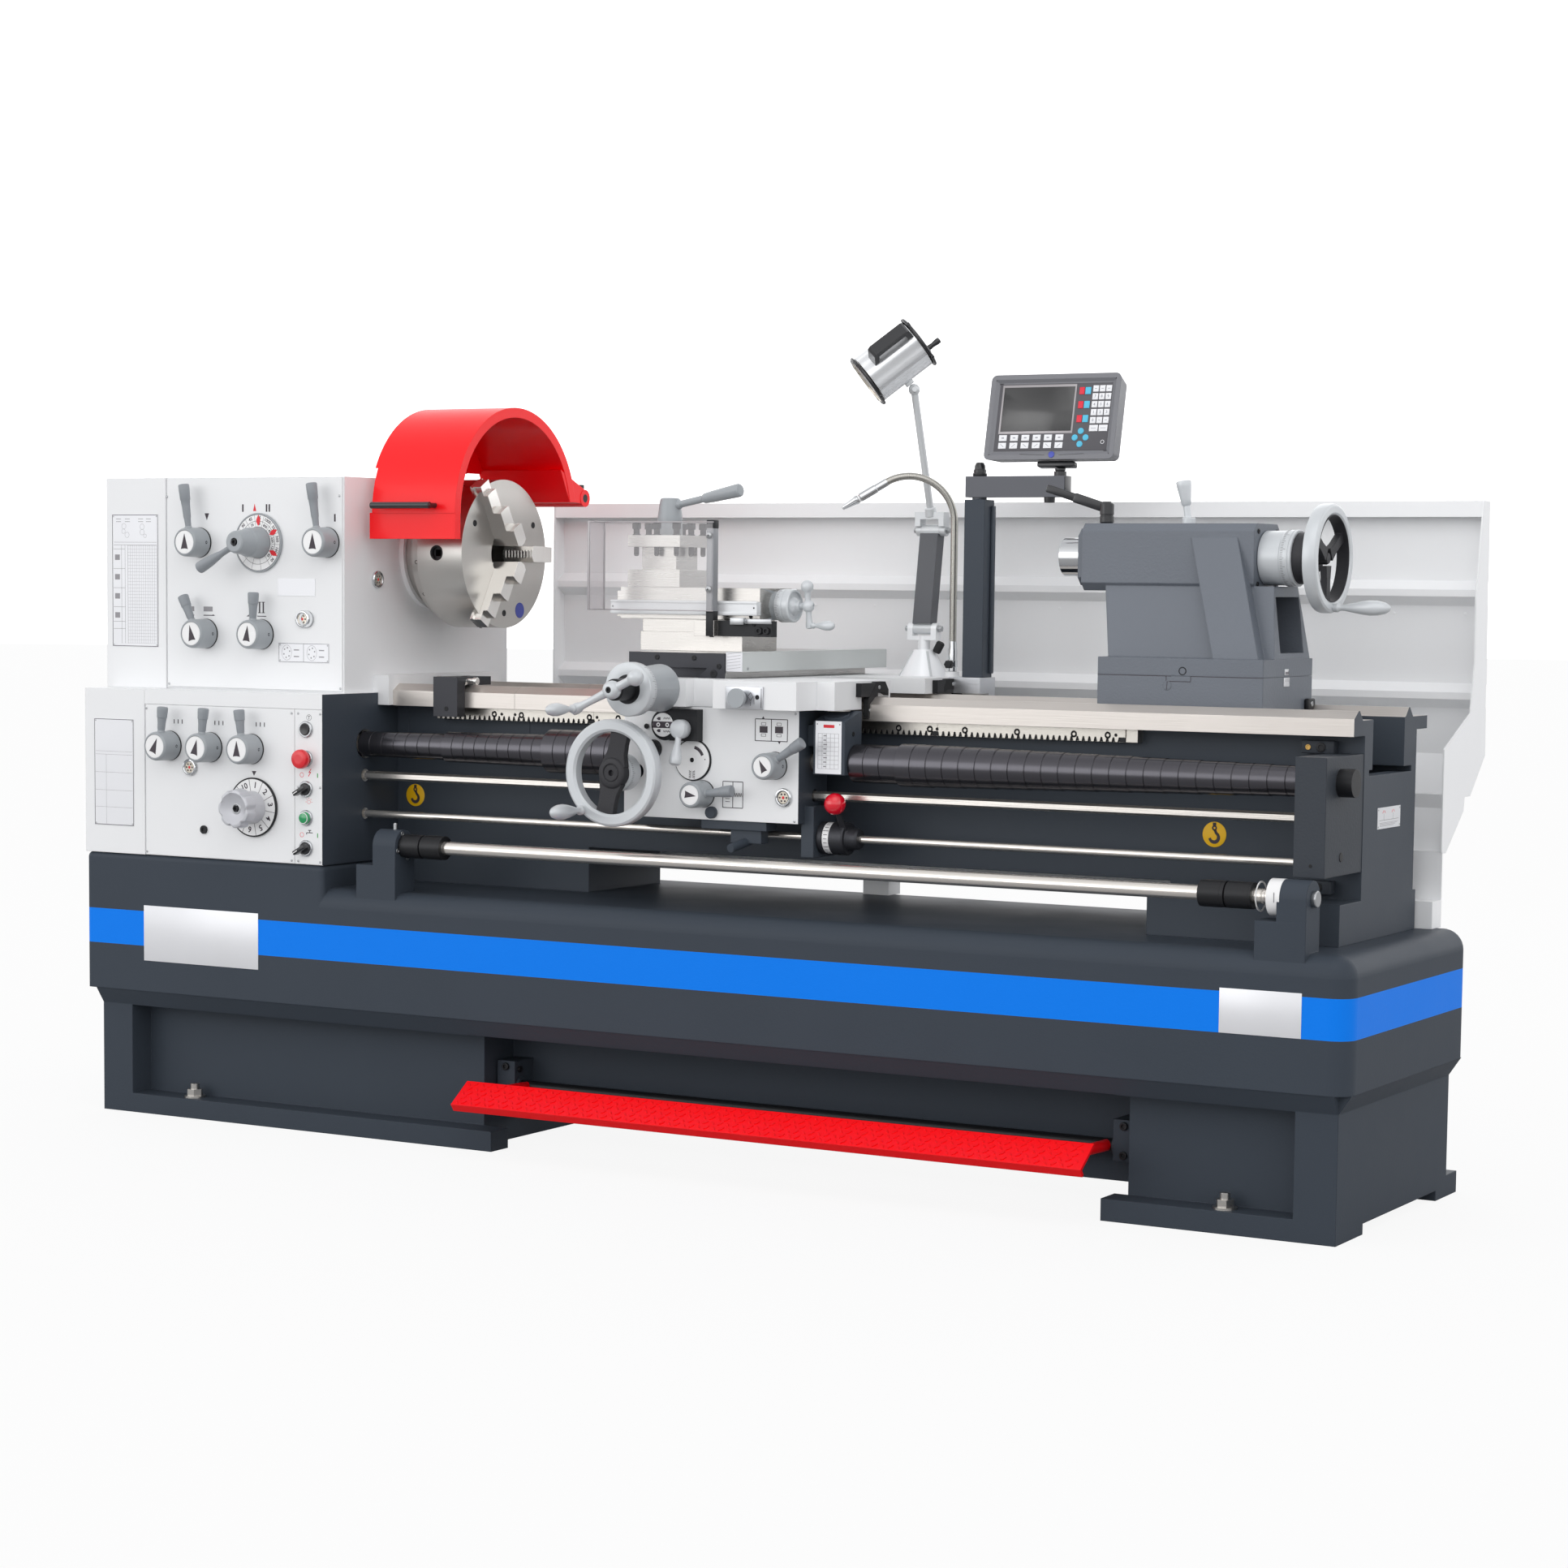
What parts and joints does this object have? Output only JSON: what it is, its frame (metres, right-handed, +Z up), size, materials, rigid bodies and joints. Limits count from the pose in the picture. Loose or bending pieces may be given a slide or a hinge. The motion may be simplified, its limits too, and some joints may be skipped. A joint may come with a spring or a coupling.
{
  "type": "gap-bed engine lathe",
  "caption": "Manual gap-bed lathe with headstock, gearbox, carriage, cross slide, tool post, tailstock, chuck guard, lamp, readout, splash back and foot brake.",
  "frame": {"origin": "centre of the machine's bounding box at floor level", "axes": "+X along the bed towards the tailstock, +Y away from the operator, +Z up"},
  "size_m": [2.942, 1.101, 1.7263],
  "materials": {
    "slate_paint": "satin, lightly textured",
    "white_paint": "gloss",
    "grey_paint": "semi-gloss hammered grey",
    "black_paint": "satin",
    "red_paint": "gloss",
    "ground_steel": "ground",
    "cast_way": "ground",
    "bright_steel": "polished",
    "die_cast": "painted grey",
    "red_cover": "gloss",
    "black_plastic": "matte",
    "red_plastic": "gloss",
    "black_tube": "gloss black steel strip",
    "clear_sheet": "clear",
    "lamp_body": "satin",
    "readout_case": "matte"
  },
  "bodies": {
    "frame": {"base": "slate_paint", "bed": "slate_paint", "gap_bridge": "cast_way", "headstock": "white_paint", "gearbox": "white_paint", "back_guard": "white_paint", "screw_cover_left": "black_tube", "screw_cover_right": "black_tube"},
    "spindle": {"spindle": "ground_steel", "chuck": "ground_steel"},
    "carriage": {"saddle": "white_paint", "apron": "white_paint", "coolant_hose": "bright_steel", "readout_post": "slate_paint"},
    "shift_lever": {"shift_lever": "die_cast"},
    "gear_lever": {"gear_lever": "die_cast"},
    "reverse_lever": {"reverse_lever": "die_cast"},
    "range_lever": {"range_lever": "die_cast"},
    "speed_selector": {"speed_selector": "die_cast"},
    "feed_lever_a": {"feed_lever_a": "die_cast"},
    "feed_lever_b": {"feed_lever_b": "die_cast"},
    "feed_lever_c": {"feed_lever_c": "die_cast"},
    "feed_selector": {"feed_selector": "die_cast"},
    "jog_button": {"jog_button": "black_plastic"},
    "stop_button": {"stop_button": "red_plastic"},
    "lamp_switch": {"lamp_switch": "black_plastic"},
    "coolant_switch": {"coolant_switch": "black_plastic"},
    "jaw_1": {"jaw_1": "ground_steel"},
    "jaw_2": {"jaw_2": "ground_steel"},
    "jaw_3": {"jaw_3": "ground_steel"},
    "chuck_guard": {"chuck_guard": "red_cover"},
    "lead_screw": {"lead_screw": "bright_steel"},
    "feed_rod": {"feed_rod": "bright_steel"},
    "control_rod": {"control_rod": "bright_steel"},
    "stop_bar": {"stop_bar": "bright_steel"},
    "apron_wheel": {"apron_wheel": "grey_paint"},
    "cross_slide": {"cross_slide": "ground_steel"},
    "cross_crank": {"cross_crank": "grey_paint"},
    "swivel_base": {"swivel_base": "ground_steel"},
    "top_slide": {"top_slide": "ground_steel"},
    "top_crank": {"top_crank": "grey_paint"},
    "tool_post": {"tool_post": "ground_steel"},
    "post_lever": {"post_lever": "grey_paint"},
    "post_guard": {"post_guard": "clear_sheet"},
    "half_nut_lever": {"half_nut_lever": "die_cast"},
    "feed_engage_lever": {"feed_engage_lever": "die_cast"},
    "feed_reverse_lever": {"feed_reverse_lever": "die_cast"},
    "lube_pump": {"lube_pump": "die_cast"},
    "control_lever": {"control_lever": "black_paint"},
    "tailstock": {"tailstock": "grey_paint"},
    "quill": {"quill": "ground_steel"},
    "tail_wheel": {"tail_wheel": "grey_paint"},
    "quill_lock": {"quill_lock": "die_cast"},
    "tail_clamp": {"tail_clamp": "black_paint"},
    "bed_stop": {"bed_stop": "black_paint"},
    "lamp_arm": {"lamp_arm": "lamp_body"},
    "lamp_rod": {"lamp_rod": "lamp_body"},
    "lamp_head": {"lamp_head": "lamp_body"},
    "readout": {"readout": "readout_case"},
    "brake_pedal": {"brake_pedal": "red_paint"}
  },
  "joints": [
    {"name": "shift_lever_turn", "type": "hinge", "parent": "frame", "child": "shift_lever", "pos_m": [-1.208, -0.2395, 1.252], "axis": [0, 1, 0], "range_deg": [-18, 18]},
    {"name": "gear_lever_turn", "type": "hinge", "parent": "frame", "child": "gear_lever", "pos_m": [-0.862, -0.2395, 1.253], "axis": [0, 1, 0], "range_deg": [-18, 18]},
    {"name": "reverse_lever_turn", "type": "hinge", "parent": "frame", "child": "reverse_lever", "pos_m": [-1.191, -0.2395, 1.055], "axis": [0, 1, 0], "range_deg": [0, 50]},
    {"name": "range_lever_turn", "type": "hinge", "parent": "frame", "child": "range_lever", "pos_m": [-1.038, -0.2395, 1.056], "axis": [0, 1, 0], "range_deg": [-25, 25]},
    {"name": "speed_selector_turn", "type": "hinge", "parent": "frame", "child": "speed_selector", "pos_m": [-1.044, -0.2395, 1.252], "axis": [0, 1, 0], "continuous": true},
    {"name": "feed_lever_a_turn", "type": "hinge", "parent": "frame", "child": "feed_lever_a", "pos_m": [-1.218, -0.3295, 0.814], "axis": [0, 1, 0], "range_deg": [-22, 22]},
    {"name": "feed_lever_b_turn", "type": "hinge", "parent": "frame", "child": "feed_lever_b", "pos_m": [-1.106, -0.3295, 0.814], "axis": [0, 1, 0], "range_deg": [-22, 22]},
    {"name": "feed_lever_c_turn", "type": "hinge", "parent": "frame", "child": "feed_lever_c", "pos_m": [-0.994, -0.3295, 0.814], "axis": [0, 1, 0], "range_deg": [-22, 22]},
    {"name": "feed_selector_turn", "type": "hinge", "parent": "frame", "child": "feed_selector", "pos_m": [-0.988, -0.3295, 0.69], "axis": [0, 1, 0], "continuous": true},
    {"name": "jog_press", "type": "slide", "parent": "frame", "child": "jog_button", "axis": [0, 1, 0], "range_m": [0, 0.0035], "stiffness_N_per_m": 900, "springref_m": -0.001},
    {"name": "stop_press", "type": "slide", "parent": "frame", "child": "stop_button", "axis": [0, 1, 0], "range_m": [0, 0.004], "stiffness_N_per_m": 1500, "springref_m": -0.001},
    {"name": "lamp_switch_turn", "type": "hinge", "parent": "frame", "child": "lamp_switch", "pos_m": [-0.849, -0.3295, 0.734], "axis": [0, 1, 0], "range_deg": [0, 60]},
    {"name": "coolant_switch_turn", "type": "hinge", "parent": "frame", "child": "coolant_switch", "pos_m": [-0.849, -0.3295, 0.609], "axis": [0, 1, 0], "range_deg": [0, 60]},
    {"name": "spindle_turn", "type": "hinge", "parent": "frame", "child": "spindle", "pos_m": [-0.628, 0.0805, 1.234], "axis": [1, 0, 0], "continuous": true},
    {"name": "jaw_1_travel", "type": "slide", "parent": "spindle", "child": "jaw_1", "axis": [0, 1, 0], "range_m": [-0.011, 0.03]},
    {"name": "jaw_2_travel", "type": "slide", "parent": "spindle", "child": "jaw_2", "axis": [0, -0.5, 0.866], "range_m": [-0.011, 0.03]},
    {"name": "jaw_3_travel", "type": "slide", "parent": "spindle", "child": "jaw_3", "axis": [0, -0.5, -0.866], "range_m": [-0.011, 0.03]},
    {"name": "guard_lift", "type": "hinge", "parent": "frame", "child": "chuck_guard", "pos_m": [-0.628, 0.3235, 1.36], "axis": [-1, 0, 0], "range_deg": [0, 95]},
    {"name": "lead_screw_turn", "type": "hinge", "parent": "frame", "child": "lead_screw", "pos_m": [-0.628, -0.1795, 0.826], "axis": [1, 0, 0], "continuous": true},
    {"name": "feed_rod_turn", "type": "hinge", "parent": "frame", "child": "feed_rod", "pos_m": [-0.628, -0.1795, 0.759], "axis": [1, 0, 0], "continuous": true},
    {"name": "control_rod_turn", "type": "hinge", "parent": "frame", "child": "control_rod", "pos_m": [-0.628, -0.1795, 0.677], "axis": [1, 0, 0], "range_deg": [-12, 12]},
    {"name": "stop_bar_turn", "type": "hinge", "parent": "frame", "child": "stop_bar", "pos_m": [-0.628, -0.2875, 0.622], "axis": [1, 0, 0], "continuous": true},
    {"name": "carriage_travel", "type": "slide", "parent": "frame", "child": "carriage", "axis": [1, 0, 0], "range_m": [-0.2, 0.3], "deforming": ["screw_cover_left", "screw_cover_right"]},
    {"name": "apron_wheel_turn", "type": "hinge", "parent": "carriage", "child": "apron_wheel", "pos_m": [-0.077, -0.2465, 0.797], "axis": [0, 1, 0], "continuous": true},
    {"name": "half_nut_turn", "type": "hinge", "parent": "carriage", "child": "half_nut_lever", "pos_m": [0.243, -0.2465, 0.819], "axis": [0, 1, 0], "range_deg": [0, 40]},
    {"name": "feed_engage_turn", "type": "hinge", "parent": "carriage", "child": "feed_engage_lever", "pos_m": [0.078, -0.2465, 0.757], "axis": [0, 1, 0], "range_deg": [-35, 5]},
    {"name": "feed_reverse_turn", "type": "hinge", "parent": "carriage", "child": "feed_reverse_lever", "pos_m": [0.044, -0.2465, 0.886], "axis": [0, 1, 0], "range_deg": [-30, 30]},
    {"name": "lube_press", "type": "slide", "parent": "carriage", "child": "lube_pump", "axis": [0, 1, 0], "range_m": [0, 0.004], "stiffness_N_per_m": 1200, "springref_m": -0.001},
    {"name": "control_lever_turn", "type": "hinge", "parent": "carriage", "child": "control_lever", "pos_m": [0.369, -0.1795, 0.677], "axis": [1, 0, 0], "range_deg": [-12, 12]},
    {"name": "cross_travel", "type": "slide", "parent": "carriage", "child": "cross_slide", "axis": [0, 1, 0], "range_m": [-0.03, 0.07]},
    {"name": "cross_crank_turn", "type": "hinge", "parent": "carriage", "child": "cross_crank", "pos_m": [-0.011, -0.4455, 0.966], "axis": [0, 1, 0], "continuous": true},
    {"name": "top_swivel", "type": "hinge", "parent": "cross_slide", "child": "swivel_base", "pos_m": [-0.067, 0.0105, 1.036], "axis": [0, 0, 1], "range_deg": [-8, 8]},
    {"name": "post_guard_swing", "type": "hinge", "parent": "swivel_base", "child": "post_guard", "pos_m": [-0.001, -0.087, 1.1], "axis": [0, 0, 1], "range_deg": [0, 70]},
    {"name": "top_travel", "type": "slide", "parent": "swivel_base", "child": "top_slide", "axis": [1, 0, 0], "range_m": [-0.05, 0.03]},
    {"name": "top_crank_turn", "type": "hinge", "parent": "top_slide", "child": "top_crank", "pos_m": [0.093, 0.0105, 1.131], "axis": [1, 0, 0], "continuous": true},
    {"name": "post_turn", "type": "hinge", "parent": "top_slide", "child": "tool_post", "pos_m": [-0.163, 0.0105, 1.166], "axis": [0, 0, 1], "continuous": true},
    {"name": "post_lever_turn", "type": "hinge", "parent": "tool_post", "child": "post_lever", "pos_m": [-0.163, 0.0105, 1.273], "axis": [0, 0, 1], "continuous": true},
    {"name": "tailstock_travel", "type": "slide", "parent": "frame", "child": "tailstock", "axis": [1, 0, 0], "range_m": [-0.2, 0.12]},
    {"name": "quill_travel", "type": "slide", "parent": "tailstock", "child": "quill", "axis": [-1, 0, 0], "range_m": [0, 0.1]},
    {"name": "tail_wheel_turn", "type": "hinge", "parent": "tailstock", "child": "tail_wheel", "pos_m": [1.132, 0.0805, 1.234], "axis": [1, 0, 0], "continuous": true},
    {"name": "quill_lock_turn", "type": "hinge", "parent": "tailstock", "child": "quill_lock", "pos_m": [0.97, 0.0805, 1.299], "axis": [0, 0, 1], "range_deg": [-60, 60]},
    {"name": "tail_clamp_turn", "type": "hinge", "parent": "tailstock", "child": "tail_clamp", "pos_m": [0.797, 0.0805, 1.299], "axis": [0, 0, 1], "range_deg": [-30, 60]},
    {"name": "bed_stop_travel", "type": "slide", "parent": "frame", "child": "bed_stop", "axis": [1, 0, 0], "range_m": [-0.05, 0]},
    {"name": "lamp_foot_bend", "type": "hinge", "parent": "carriage", "child": "lamp_arm", "pos_m": [0.269, 0.3305, 1.085], "axis": [1, 0, 0], "range_deg": [-20, 5]},
    {"name": "lamp_elbow_bend", "type": "hinge", "parent": "lamp_arm", "child": "lamp_rod", "pos_m": [0.269, 0.3625, 1.291], "axis": [1, 0, 0], "range_deg": [-30, 10]},
    {"name": "lamp_head_tilt", "type": "hinge", "parent": "lamp_rod", "child": "lamp_head", "pos_m": [0.269, 0.2705, 1.58], "axis": [1, 0, 0], "range_deg": [-15, 20]},
    {"name": "readout_turn", "type": "hinge", "parent": "carriage", "child": "readout", "pos_m": [0.601, 0.2805, 1.409], "axis": [0, 0, 1], "range_deg": [-25, 25]},
    {"name": "pedal_press", "type": "hinge", "parent": "frame", "child": "brake_pedal", "pos_m": [-0.628, -0.1815, 0.122], "axis": [1, 0, 0], "range_deg": [0, 7], "stiffness_Nm_per_rad": 260, "springref_deg": -11.46}
  ],
  "couplings": [
    {"joint": "jaw_2_travel", "follows": "jaw_1_travel", "ratio": 1},
    {"joint": "jaw_3_travel", "follows": "jaw_1_travel", "ratio": 1},
    {"joint": "apron_wheel_turn", "follows": "carriage_travel", "rad_per_m": 251.33},
    {"joint": "cross_crank_turn", "follows": "cross_travel", "rad_per_m": -1256.6},
    {"joint": "top_crank_turn", "follows": "top_travel", "rad_per_m": -1256.6},
    {"joint": "tail_wheel_turn", "follows": "quill_travel", "rad_per_m": -1256.6},
    {"joint": "control_lever_turn", "follows": "control_rod_turn", "ratio": 1}
  ]
}
